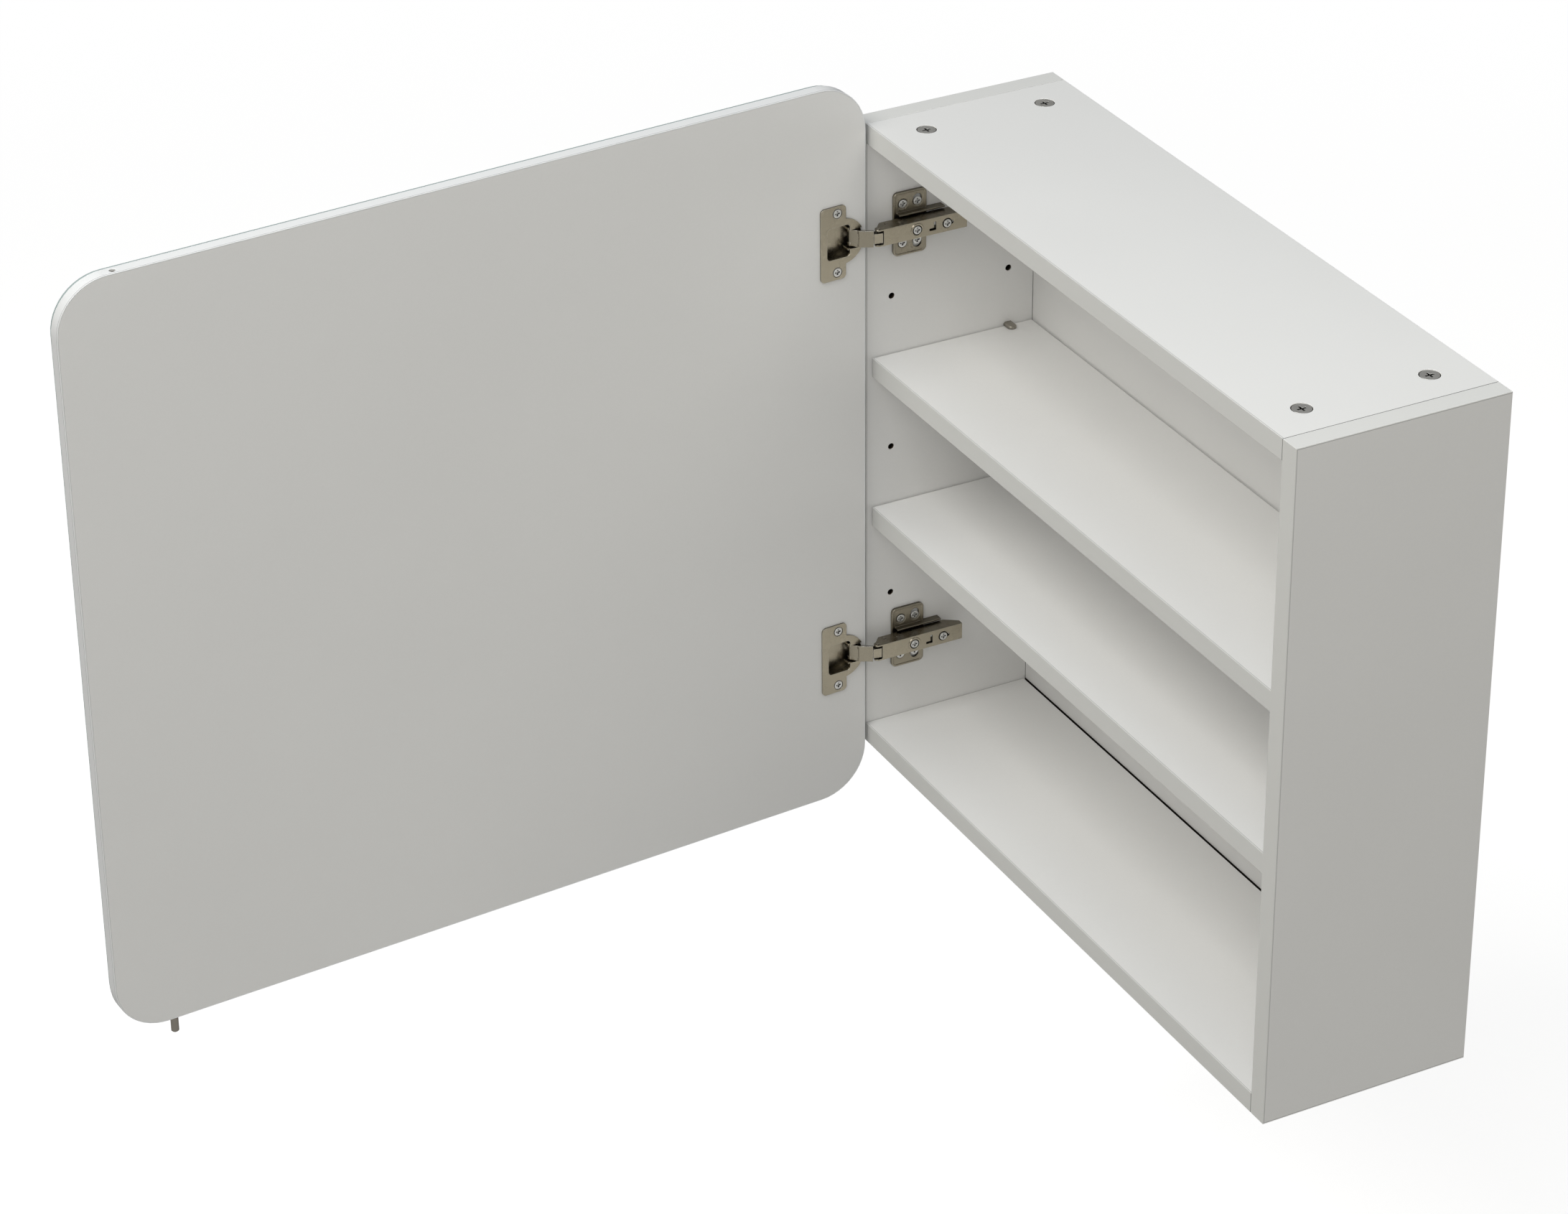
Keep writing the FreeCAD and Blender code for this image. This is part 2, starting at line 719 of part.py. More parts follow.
def mounting_plate(name, level):
    """Rimmed wing plate with two screw holes in each wing, lips beside the arm and a bridge under it."""
    label = name + "_mounting_plate"
    lip_z = "(arm_high / 2 + lip_gap)"
    rear = "(plate_front + plate_wide)"
    leg_rise = "%s - bridge_thick - plate_thick" % ARM_IN
    rim = plate(label + "_rim", "YZ_Plane", ("plate_front", "-plate_high / 2"), (rear, "plate_high / 2"),
                "plate_thick + wing_rim_rise", "plate_round")
    rim_room = plate(
        label + "_rim_room", "YZ_Plane", ("plate_front + wing_rim", "wing_rim - plate_high / 2"),
        ("%s - wing_rim" % rear, "plate_high / 2 - wing_rim"),
        "plate_thick + wing_rim_rise", "plate_round - wing_rim",
    )
    parts = [
        carve(label + "_rim_frame", rim, [rim_room]),
        plate(label + "_wings", "YZ_Plane", ("plate_front", "-plate_high / 2"), (rear, "plate_high / 2"),
              "plate_thick", "plate_round"),
        box(label + "_lip_high", ("plate_thick + lip_rise", "plate_wide - lip_short + tab_long", "lip_thick"),
            ("0", "plate_front + lip_short", lip_z)),
        box(label + "_lip_low", ("plate_thick + lip_rise", "plate_wide - lip_short", "lip_thick"),
            ("0", "plate_front + lip_short", "-%s - lip_thick" % lip_z)),
        box(label + "_bridge", ("bridge_thick", "bridge_long", "bridge_wide"),
            ("%s - bridge_thick" % ARM_IN, "bridge_front", "-bridge_wide / 2")),
    ]
    for word, foot in (("high", "bridge_wide / 2 - bridge_thick"), ("low", "-bridge_wide / 2")):
        parts.append(box("%s_leg_%s" % (label, word), (leg_rise, "%s - bridge_front" % rear, "bridge_thick"),
                         ("plate_thick", "bridge_front", foot)))
    room = [box(
        label + "_bridge_window",
        ("bridge_thick", "ell_wide + 2 * ell_room", "bridge_wide - 2 * bridge_thick"),
        ("%s - bridge_thick" % ARM_IN, "ell_front - ell_room", "bridge_thick - bridge_wide / 2"),
    )]
    seat_x = "plate_thick - screw_head_deep"
    for word, sign in UP_DOWN.items():
        height = "%d * plate_screw_rise" % sign
        for depth in PLATE_SCREW_DEPTHS:
            room += countersink("%s_%s" % (label, word), "plate_thick", (seat_x, depth, height), "x")
        slot_low = "plate_screw_rise" if sign > 0 else "-plate_screw_rise - plate_slot"
        room.append(box("%s_slot_%s" % (label, word), ("plate_thick", "screw_head", "plate_slot"),
                        ("0", "plate_screw_rear - screw_head / 2", slot_low)))
        room.append(rod("%s_slot_end_%s" % (label, word), "screw_head", "plate_thick",
                        ("0", "plate_screw_rear", "%d * (plate_screw_rise + plate_slot)" % sign), "x"))
    for depth in ("adjust_front", "adjust_rear"):
        room.append(rod(label + "_thread", "adjust_core", "bridge_thick",
                        ("%s - bridge_thick" % ARM_IN, depth, "0"), "x"))
    return on_side(label, level, carve(label + "_cut", join(label + "_sheet", parts), room))


def plate_screws(name, level, original):
    places = []
    for depth in PLATE_SCREW_DEPTHS:
        for sign in UP_DOWN.values():
            places.append((("plate_thick", depth, "%d * plate_screw_rise" % sign), TURNS["x"]))
    return on_side(name + "_plate_screws", level, group(name + "_plate_screw_set", original, places))


def hinge_arm(name, level):
    """Channel arm over the bridge: a web with slots and a boss, and two flanges with pivot ears."""
    label = name + "_hinge_arm"
    ear = "(arm_out - pivot_out)"
    web = box(label + "_web", ("arm_thick", "arm_rear - %s" % WEB_FRONT, "arm_high"),
              (ARM_IN, WEB_FRONT, "-arm_high / 2"))
    boss = rod(label + "_boss", "boss_wide", "boss_rise", ("arm_out", "adjust_front", "0"), "x")
    parts = [web, boss]
    flange_corners = [
        ("arm_out", "pivot_back"), ("arm_out", "arm_rear"), ("flange_tail", "arm_rear"),
        ("flange_in", "arm_rear - tail_slope"), ("flange_in", "throat_back"),
        ("pivot_out - %s" % ear, "pivot_back"),
    ]
    for word, low in (("high", "arm_high / 2 - arm_thick"), ("low", "-arm_high / 2")):
        parts.append(prism("%s_flange_%s" % (label, word), "XY_Plane", flange_corners, "arm_thick",
                           ("0", "0", low)))
        parts.append(rod("%s_ear_%s" % (label, word), "2 * %s" % ear, "arm_thick",
                         ("pivot_out", "pivot_back", low)))
    rivet_x = "arm_out - rivet_off"
    for step, depth in enumerate(("%s + rivet_off" % WEB_FRONT, "plate_front", "plate_front + plate_wide")):
        parts.append(rod("%s_rivet%d" % (label, step), "rivet_wide", "rivet_rise",
                         (rivet_x, depth, "arm_high / 2")))
    through = "arm_thick + boss_rise"
    head_room = "adjust_head + adjust_play"
    room = [
        rod(label + "_front_hole", head_room, through, (ARM_IN, "adjust_front", "0"), "x"),
        rod(label + "_rear_hole", head_room, through, (ARM_IN, "adjust_rear", "0"), "x"),
        box(label + "_key_slot", (through, "key_tail", "key_tail_wide"),
            (ARM_IN, "adjust_rear", "-key_tail_wide / 2")),
        rod(label + "_key_end", "key_tail_wide", through, (ARM_IN, "adjust_rear + key_tail", "0"), "x"),
        box(label + "_ell_tall", (through, "ell_stroke", "ell_high"),
            (ARM_IN, "ell_front + ell_wide - ell_stroke", "-ell_high / 2")),
        box(label + "_ell_foot", (through, "ell_wide", "ell_stroke"),
            (ARM_IN, "ell_front", "-ell_high / 2")),
    ]
    for at in (("pivot_out", "pivot_back"), ("inner_out", "inner_back")):
        room.append(rod(label + "_pin_hole", "pin_wide", "arm_high", (at[0], at[1], "-arm_high / 2")))
    return on_side(label, level, carve(label + "_cut", join(label + "_bent", parts), room))


def adjusting_screws(name, level, original):
    places = [((ARM_IN, depth, "0"), TURNS["x"]) for depth in ("adjust_front", "adjust_rear")]
    return on_side(name + "_adjusting_screws", level, group(name + "_adjusting_set", original, places))


def adjusting_screw():
    """Machine screw whose head stands on the bridge, inside the arm's hole."""
    stem = turned("adjusting_stem", [
        ("0", "-adjust_long"), ("adjust_core / 2", "-adjust_long"), ("adjust_core / 2", "0"),
        ("adjust_head / 2", "0"), ("adjust_head / 2", "adjust_head_high"), ("0", "adjust_head_high"),
    ])
    return carve("adjusting_screw", stem, drive("adjusting_screw", "adjust_head_high"))


def arm_pins(name, level):
    """Two riveted pins across the arm's flanges, one for each link."""
    half = "(arm_high / 2 + pin_rivet)"
    pins = doc.addObject("Part::Compound", name + "_arm_pin_pair")
    pins.Links = [
        rod("%s_arm_pin_%s" % (name, word), "pin_wide", "2 * " + half, (out, back, "-" + half))
        for word, out, back in (("outer", "pivot_out", "pivot_back"), ("inner", "inner_out", "inner_back"))
    ]
    return on_side(name + "_arm_pins", level, pins)


def outer_link(name, level):
    """Visible bent link from the arm's front pin into the cup, where two covered ears sit on the studs."""
    label = name + "_outer_link"
    heel = ("pivot_out + heel_out", "pivot_back - heel_front")
    toe = ("%s + toe_out" % PIN[0], "%s + toe_back" % PIN[1])
    knuckle_end = ("arm_out - link_thick / 2", "pivot_back + knuckle_rear")
    knuckle_low = "-knuckle_high / 2"
    parts = strip(label + "_knuckle", [heel, knuckle_end], "link_thick", knuckle_low, "knuckle_high / 2")[:1]
    pivot = ("pivot_out", "pivot_back")
    parts.append(rod(label + "_barrel", "barrel_wide", "knuckle_high", (*pivot, knuckle_low)))
    parts += strip(label + "_plate", [heel, toe], "link_thick", "-link_high / 2", "link_high / 2")
    ear_high = "((link_high - ear_gap) / 2)"
    for word, low in (("high", "ear_gap / 2"), ("low", "-link_high / 2")):
        top = "%s + %s" % (low, ear_high)
        parts += strip("%s_ear_%s" % (label, word), [toe, PIN], "link_thick", low, top)[:1]
        parts.append(rod("%s_eye_%s" % (label, word), "eye_wide", ear_high, (PIN[0], PIN[1], low)))
    cover = []
    for at, outside in ((toe, "link_thick"), (PIN, "eye_wide")):
        lift = "(((%s - cover_thick) / 2 - cover_inset) / hypot(toe_out; toe_back))" % outside
        cover.append(("%s + %s * toe_back" % (at[0], lift), "%s - %s * toe_out" % (at[1], lift)))
    parts += strip(label + "_cover", cover, "cover_thick", "-link_high / 2", "link_high / 2")
    room = [
        rod(label + "_pivot", "pin_wide + 2 * pin_play", "link_high", (*pivot, "-link_high / 2")),
        rod(label + "_stud", "cup_pin_wide + 2 * pin_play", "link_high", (PIN[0], PIN[1], "-link_high / 2")),
    ]
    return on_side(label, level, carve(label + "_cut", join(label + "_bent", parts), room))


def inner_link(name, level):
    """Narrow hidden link from the arm's rear pin; its hook ends just short of the tip pin in the cup."""
    label = name + "_inner_link"
    path = [
        ("inner_out", "inner_back"),
        ("inner_out + knee_out", "inner_back - knee_front"),
        ("inner_out + shin_out", "inner_back - shin_front"),
        ("%s + hook_out" % TIP_PIN[0], "%s + hook_back" % TIP_PIN[1]),
        ("%s + tip_out" % TIP_PIN[0], "%s - tip_drop" % TIP_PIN[1]),
    ]
    low = "-inner_high / 2"
    parts = strip(label + "_strip", path, "inner_thick", low, "inner_high / 2")
    parts.append(rod(label + "_barrel", "barrel_wide", "inner_high", (path[0][0], path[0][1], low)))
    room = [rod(label + "_pivot", "pin_wide + 2 * pin_play", "inner_high", (path[0][0], path[0][1], low))]
    return on_side(label, level, carve(label + "_cut", join(label + "_bent", parts), room))


def hinge_cup(name, level):
    """Pressed cup let into the door, with a screw flange, a windowed rim and cheeks for the pins."""
    label = name + "_hinge_cup"
    shell = turned(label + "_shell", [
        ("cup_wide / 2 - cup_wall", "0"), ("cup_wide / 2", "0"), ("cup_wide / 2", "cup_deep"),
        ("0", "cup_deep"),
        ("0", "cup_deep - cup_wall"), ("cup_wide / 2 - cup_wall", "cup_deep - cup_wall"),
    ])
    place(shell, ("cup_in", "0", "0"), TURNS["-y"])
    raised = ("0", "0", "-flange_thick")
    flange = plate(
        label + "_flange", "XZ_Plane", ("flange_near", "-flange_high / 2"),
        ("flange_near + flange_wide", "flange_high / 2"), "flange_thick", "flange_round", raised,
    )
    parts = [shell, flange, rod(label + "_rim", "rim_wide", "flange_thick", ("cup_in", "0", "0"), "y")]
    core = rod(label + "_core", "cup_wide", "cup_deep", ("cup_in", "-cup_deep", "0"), "y")
    for word, low in (("high", "band_high / 2"), ("low", "-band_high / 2 - cheek_thick")):
        cheek = box("%s_cheek_%s" % (label, word), ("cheek_run", "cheek_deep", "cheek_thick"),
                    ("0", "-cheek_deep", low))
        parts.append(overlap("%s_cheek_in_%s" % (label, word), cheek, core))
    room = [
        plate(label + "_window", "XZ_Plane", ("band_run - window_round", "-window_high / 2"),
              ("window_far", "window_high / 2"), "flange_thick", "window_round", raised),
        box(label + "_band", ("band_run", "flange_thick", "band_high"), ("0", "0", "-band_high / 2")),
    ]
    seat_y = "flange_thick - screw_head_deep"
    for word, sign in UP_DOWN.items():
        seat = ("cup_screw_in", seat_y, "%d * cup_screw_rise" % sign)
        room += countersink("%s_%s" % (label, word), "flange_thick", seat, "y")
    for word, low in (("high", "band_high / 2"), ("low", "-band_high / 2 - cheek_thick")):
        for across, deep in (("pin_in", "pin_deep"), ("tip_pin_in", "tip_pin_deep")):
            room.append(rod("%s_pin_%s" % (label, word), "cup_pin_wide", "cheek_thick",
                            (across, "-" + deep, low)))
    return on_door(label, level, carve(label + "_cut", join(label + "_pressed", parts), room))


def cup_screws(name, level, original):
    places = [
        (("cup_screw_in", "flange_thick", "%d * cup_screw_rise" % sign), TURNS["y"])
        for sign in UP_DOWN.values()
    ]
    return on_door(name + "_cup_screws", level, group(name + "_cup_screw_set", original, places))


def cup_pins(name, level):
    """Two short studs that carry the outer link's ears, and the long pin beside the inner link's hook."""
    reach = "(band_high / 2 + cheek_thick)"
    stud = "(%s - ear_gap / 2)" % reach
    studs = doc.addObject("Part::Compound", name + "_stud_pair")
    studs.Links = [
        rod("%s_stud_%s" % (name, word), "cup_pin_wide", stud, ("pin_in", "-pin_deep", low))
        for word, low in (("high", "ear_gap / 2"), ("low", "-" + reach))
    ]
    on_door(name + "_cup_studs", level, studs)
    half = "(band_high / 2 + tip_pin_hold)"
    pin = rod(name + "_tip_rod", "cup_pin_wide", "2 * " + half, ("tip_pin_in", "-tip_pin_deep", "-" + half))
    pins = doc.addObject("Part::Compound", name + "_tip_set")
    pins.Links = [pin]
    on_door(name + "_cup_pin", level, pins)


# Door, in its own frame: x from the hinge edge, inner face at y zero, heights as in the cabinet
DOOR_LOW = "(%s - overhang)" % BOTTOM
DOOR_HIGH = "(%s + overhang)" % TOP
PULL = ("(door_wide - pull_edge)", "(-door_board / 2)")


def door_plate(name, inset, thick, behind="0"):
    """A sheet of the door, set in evenly from the door's outline and behind its inner face."""
    return plate(
        name, "XZ_Plane", (inset, "%s + %s" % (DOOR_LOW, inset)),
        ("door_wide - %s" % inset, "%s - %s" % (DOOR_HIGH, inset)), thick,
        "door_round - %s" % inset, ("0", "0", behind),
    )


def pull_holes(name):
    """Holes for the pull in both edges, so that the door can hang on either side."""
    return [
        rod(name + "_pull_low", "pull_peg", "pull_seat", (PULL[0], PULL[1], DOOR_LOW)),
        rod(name + "_pull_high", "pull_peg", "pull_seat", (PULL[0], PULL[1], "%s - pull_seat" % DOOR_HIGH)),
    ]


def door():
    """Door board with bored cup seats, its edge band, and the mirror glued to the outer face."""
    bores = pull_holes("door")
    cup_room = "cup_deep + cup_play"
    for level in HINGE_LEVELS.values():
        bores.append(rod("door_cup", "cup_wide + 2 * cup_play", cup_room,
                         ("cup_in", "-(%s)" % cup_room, level), "y"))
        for sign in UP_DOWN.values():
            height = "%s + %d * cup_screw_rise" % (level, sign)
            seat = ("cup_screw_in", "flange_thick - screw_head_deep", height)
            bores += countersink("door_screw_hole", "cup_screw_long - screw_head_deep", seat, "y")
    core = door_plate("door_core", "band_thick", "door_board")
    on_door("door_panel", "0", carve("door_core_cut", core, bores))
    ring = carve("band_ring", door_plate("band_outer", "0", "door_board"),
                 [door_plate("band_inner", "band_thick", "door_board")])
    on_door("door_edge_band", "0", carve("band_cut", ring, pull_holes("band")))
    on_door("mirror_adhesive", "0", door_plate("glue_sheet", "glue_inset", "glue_thick", "door_board"))
    on_door("mirror_pane", "0",
            door_plate("mirror_sheet", "mirror_inset", "mirror_thick", "door_board + glue_thick"))
    end = "-pull_drop"
    pull = turned("pull_turned", [
        ("0", end), ("pull_wide / 2 - pull_round", end), ("pull_wide / 2", "pull_round - pull_drop"),
        ("pull_wide / 2", "0"), ("pull_peg / 2", "0"), ("pull_peg / 2", "pull_seat - pull_play"),
        ("0", "pull_seat - pull_play"),
    ], (PULL[0], DOOR_LOW, "door_board / 2"))
    on_door("pull_pin", "0", pull)


# Assembly: carcass first, then what stands in it, the hinges and the door
side_board("left_side", SIDES["left"])
side_board("right_side", SIDES["right"])
cross_panel("top_panel", "(%s - board)" % TOP, "%s - cam_deep" % TOP, "%s - board" % TOP, "groove_play")
cross_panel("bottom_panel", BOTTOM, BOTTOM, "%s + board - groove_deep" % BOTTOM, "bottom_gap")
back_panel()
for shelf_name, shelf_level in SHELF_LEVELS.items():
    shelf(shelf_name, shelf_level)
pegs_and_stops()
corner_fittings()
wood_screw = screw("wood_screw", "screw_long")
for word, sign in SIDES.items():
    wall_bracket(word + "_wall_bracket", sign)
bracket_screws(wood_screw)
door_screw = screw("door_screw", "cup_screw_long")
machine_screw = adjusting_screw()
for hinge, hinge_level in HINGE_LEVELS.items():
    mounting_plate(hinge, hinge_level)
    plate_screws(hinge, hinge_level, wood_screw)
    hinge_arm(hinge, hinge_level)
    adjusting_screws(hinge, hinge_level, machine_screw)
    arm_pins(hinge, hinge_level)
    outer_link(hinge, hinge_level)
    inner_link(hinge, hinge_level)
    hinge_cup(hinge, hinge_level)
    cup_screws(hinge, hinge_level, door_screw)
    cup_pins(hinge, hinge_level)
door()
doc.recompute()

# Every object must be sound before anything is written
for piece in doc.Objects:
    if "Invalid" in piece.State or "Error" in piece.State:
        raise RuntimeError("%s failed" % piece.Label)
for piece in NODES:
    if piece.Shape.isNull() or not piece.Shape.isValid() or not piece.Shape.Solids:
        raise RuntimeError("%s has no sound shape" % piece.Label)

os.makedirs("parts", exist_ok=True)
for piece in NODES:
    piece.Shape.exportStep("parts/%s.step" % piece.Label)
print("%d nodes written" % len(NODES))
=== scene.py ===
import bpy
import math
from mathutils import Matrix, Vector


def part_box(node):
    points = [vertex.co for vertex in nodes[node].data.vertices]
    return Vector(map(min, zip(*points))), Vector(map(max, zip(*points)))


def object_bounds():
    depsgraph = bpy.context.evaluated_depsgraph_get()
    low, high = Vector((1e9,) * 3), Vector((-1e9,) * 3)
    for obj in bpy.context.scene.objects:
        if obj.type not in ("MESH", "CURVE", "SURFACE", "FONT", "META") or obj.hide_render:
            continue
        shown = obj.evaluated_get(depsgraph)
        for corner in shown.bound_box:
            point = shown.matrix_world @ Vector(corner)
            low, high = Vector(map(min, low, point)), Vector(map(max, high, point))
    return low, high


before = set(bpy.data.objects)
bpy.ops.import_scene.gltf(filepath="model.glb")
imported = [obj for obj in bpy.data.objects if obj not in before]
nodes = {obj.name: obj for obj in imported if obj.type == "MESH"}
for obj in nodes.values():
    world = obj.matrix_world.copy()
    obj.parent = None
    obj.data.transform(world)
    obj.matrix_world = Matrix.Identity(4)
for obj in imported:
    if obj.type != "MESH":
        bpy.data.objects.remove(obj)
cad_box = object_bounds()

# Carcass boards: two sides, a top and a bottom of 16 mm chipboard faced with matt white melamine.
# Their edges carry a thin white tape, painted darker on the front than on the ends as painted shade, and
# their bores and grooves show raw chip, darkened with painted shade to near black deep inside.

MM = 0.001
WHITE = (0.857, 0.855, 0.846, 1)
SHADED_FRONT_TAPE = (0.69, 0.69, 0.67, 1)
END_TAPE = (0.78, 0.78, 0.765, 1)
CHIP_SHADED = (0.11, 0.08, 0.05, 1)
DEEP_SHADE = (0.010, 0.008, 0.006, 1)
CHIP_SHADE_FADE = (0.5 * MM, 3 * MM)

FOIL_IOR = 1.46
FOIL_TONES = (0.965, 1.03)
FOIL_ROUGH = 0.44
FOIL_ROUGH_DRIFT = 0.08
FOIL_BACK = (0.6 * MM, 0.8 * MM)
FOIL_CLOUDS = 7.0
FOIL_SPECKS = 620.0
FOIL_GRAIN = 2300.0
CLOUD_SHARE = 0.6
GRAIN_HEIGHT = 0.6
SPECK_HEIGHT = 0.8
PRESSED_DEEP = 0.05 * MM
PRESSED_SHOWS = 0.25

TAPE_STEP = (0.2 * MM, 0.4 * MM)
TAPE_SEAM = 0.9 * MM
SEAM_LINE = (0.15 * MM, 0.4 * MM)
SEAM_SHOWS = 0.5
JOINT_LINE = (0.3 * MM, 0.55 * MM)
LINE_LEVEL = 0.3

BOARD_EDGE = 0.35 * MM
EDGE_STEPS = 2
SHARP_EDGE = math.radians(50)
SAME_POINT = 0.001 * MM


class Wire:
    """A socket in a finish. Sums on it add Math nodes, and node() adds any other kind of node."""

    def __init__(self, tree, socket=None):
        self.tree = tree
        self.socket = socket

    def node(self, kind, settings=None, inputs=None, out=0):
        made = self.tree.nodes.new("ShaderNode" + kind)
        for name, setting in (settings or {}).items():
            setattr(made, name, setting)
        for place, given in (inputs or {}).items():
            if isinstance(given, Wire):
                self.tree.links.new(given.socket, made.inputs[place])
            else:
                made.inputs[place].default_value = given
        if isinstance(out, tuple):
            return [Wire(self.tree, made.outputs[name]) for name in out]
        return Wire(self.tree, made.outputs[out])

    def sum(self, operation, first, second=0.0):
        return self.node("Math", {"operation": operation}, {0: first, 1: second})

    def __add__(self, other):
        return self.sum("ADD", self, other)

    def __radd__(self, other):
        return self.sum("ADD", other, self)

    def __sub__(self, other):
        return self.sum("SUBTRACT", self, other)

    def __rsub__(self, other):
        return self.sum("SUBTRACT", other, self)

    def __mul__(self, other):
        return self.sum("MULTIPLY", self, other)

    def __rmul__(self, other):
        return self.sum("MULTIPLY", other, self)

    def __abs__(self):
        return self.sum("ABSOLUTE", self)

    def least(self, other):
        return self.sum("MINIMUM", self, other)

    def most(self, other):
        return self.sum("MAXIMUM", self, other)

    def rise(self, low, high):
        """0 below low, 1 above high, and a smooth step between."""
        return self.node("MapRange", {"interpolation_type": "SMOOTHSTEP"},
                         {"Value": self, "From Min": low, "From Max": high})

    def blend(self, first, second):
        """A colour that goes from the first to the second as this value goes from 0 to 1."""
        return self.node("Mix", {"data_type": "RGBA"}, {0: self, 6: first, 7: second}, 2)

    def feed(self, shader, place):
        self.tree.links.new(self.socket, shader.inputs[place])


def finish(name, **fixed):
    """A new material: its shader with fixed numbers set, and a wire on the object's own coordinates."""
    material = bpy.data.materials.new(name)
    material.use_nodes = True
    shader = material.node_tree.nodes["Principled BSDF"]
    for place, number in fixed.items():
        shader.inputs[place.replace("_", " ")].default_value = number
    return material, shader, Wire(material.node_tree).node("TexCoord", out="Object")


def axes(at):
    return at.node("SeparateXYZ", None, {0: at}, ("X", "Y", "Z"))


def noise(at, scale, detail=2.0):
    return at.node("TexNoise", None, {"Vector": at, "Scale": scale, "Detail": detail}, "Fac")


def shade(colour, level):
    return (colour[0] * level, colour[1] * level, colour[2] * level, 1)


def tones(colour, levels):
    return [shade(colour, level) for level in levels]


def relief(shader, height, shows, deep, **more):
    """Fine bumps that follow a height, as deep as given."""
    inputs = {"Strength": shows, "Distance": deep, "Height": height, **more}
    height.node("Bump", None, inputs).feed(shader, "Normal")


def dress(material, *names):
    for name in names:
        slots = nodes[name].data.materials
        slots.clear()
        slots.append(material)


def ease(radius, *names):
    """Slightly round the edges that a maker would break."""
    for name in names:
        weld = nodes[name].modifiers.new("joined faces", "WELD")
        weld.merge_threshold = SAME_POINT
        bevel = nodes[name].modifiers.new("broken edges", "BEVEL")
        bevel.width = radius
        bevel.segments = EDGE_STEPS
        bevel.limit_method = "ANGLE"
        bevel.angle_limit = SHARP_EDGE
        bevel.loop_slide = False
        bevel.use_clamp_overlap = False
        nodes[name].modifiers.new("flat faces", "WEIGHTED_NORMAL")


def melamine(name, tint, box, spread=axes, taped_ends=False, butted=False):
    """Matt white foil with a fine pressed grain. Tape covers the front edge, painted darker there as shade,
    and, where asked, both ends.
    A butted board shows a dark joint at its left and right, and raw chip shows deeper than the foil,
    darkened with painted shade to near black with depth."""
    material, shader, at = finish(name, IOR=FOIL_IOR)
    parts = spread(at)
    cloud = noise(at, FOIL_CLOUDS, detail=3.0)
    speck = noise(at, FOIL_SPECKS)
    grain = noise(at, FOIL_GRAIN)
    face = (cloud * CLOUD_SHARE + speck * (1 - CLOUD_SHARE)).blend(*tones(tint, FOIL_TONES))
    across, through, up = [
        (part - start).least(end - part) for part, start, end in zip(parts, box[0], box[1])]
    front = parts[1] - box[0][1]
    taped = front.least(up) if taped_ends else front
    seam = 1 - abs(taped - TAPE_SEAM).rise(*SEAM_LINE)
    face = (seam * SEAM_SHOWS).blend(face, shade(tint, LINE_LEVEL))
    # The front tape is painted darker than the end tape: painted shade on the front-facing edges.
    face = front.rise(*TAPE_STEP).blend(SHADED_FRONT_TAPE, face)
    if taped_ends:
        face = up.rise(*TAPE_STEP).blend(END_TAPE, face)
    if butted:
        face = across.rise(*JOINT_LINE).blend(shade(tint, LINE_LEVEL), face)
    # Raw chip deeper than the foil is painted in shade, going near black a few millimetres in.
    depth = across.least(through).least(up)
    chip = depth.rise(*CHIP_SHADE_FADE).blend(CHIP_SHADED, DEEP_SHADE)
    depth.rise(*FOIL_BACK).blend(face, chip).feed(shader, "Base Color")
    (FOIL_ROUGH + FOIL_ROUGH_DRIFT * (cloud + grain)).feed(shader, "Roughness")
    relief(shader, grain * GRAIN_HEIGHT + speck * SPECK_HEIGHT, PRESSED_SHOWS, PRESSED_DEEP)
    return material


for board in ("left_side", "right_side"):
    dress(melamine(board + "_melamine", WHITE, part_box(board), taped_ends=True), board)
for board in ("top_panel", "bottom_panel"):
    dress(melamine(board + "_melamine", WHITE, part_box(board), butted=True), board)
ease(BOARD_EDGE, "left_side", "right_side", "top_panel", "bottom_panel")

# Back panel: 3 mm hardboard slid into the grooves from above before the last board goes on.
# Its front is lacquered white like the boards up to the grooves, and its rear shows the brown fibre.

FIBRE_PALE = (0.36, 0.23, 0.12, 1)
FIBRE_DARK = (0.20, 0.115, 0.055, 1)
FIBRE_SCALE = 420.0
FIBRE_SHARE = 0.8
FIBRE_SPREAD = (0.3, 0.7)
FIBRE_DEEP = 0.08 * MM
FIBRE_SHOWS = 0.3
FIBRE_ROUGH = 0.06
BARE_ROUGH = 0.35
LACQUER_TONES = (0.94, 0.99)
LACQUER_CLOUDS = 6.0
LACQUER_ROUGH = 0.42
GROOVE_HOLD = 5.8 * MM
GROOVE_SHADE_STEP = (GROOVE_HOLD - 0.2 * MM, GROOVE_HOLD + 0.1 * MM)
REAR_SKIN = 0.3 * MM
REAR_STEP = 0.2 * MM

hardboard, shader, at = finish("lacquered_hardboard", IOR=FOIL_IOR)
across, deep, up = axes(at)
cloud = noise(at, LACQUER_CLOUDS, detail=3.0)
fibre = noise(at, FIBRE_SCALE, detail=6.0)
low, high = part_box("back_panel")
rear = (deep - (high[1] - REAR_SKIN)).rise(0, REAR_STEP)
hidden = (across - low[0]).least(high[0] - across).least((up - low[2]).least(high[2] - up))
lacquer = cloud.blend(*tones(WHITE, LACQUER_TONES))
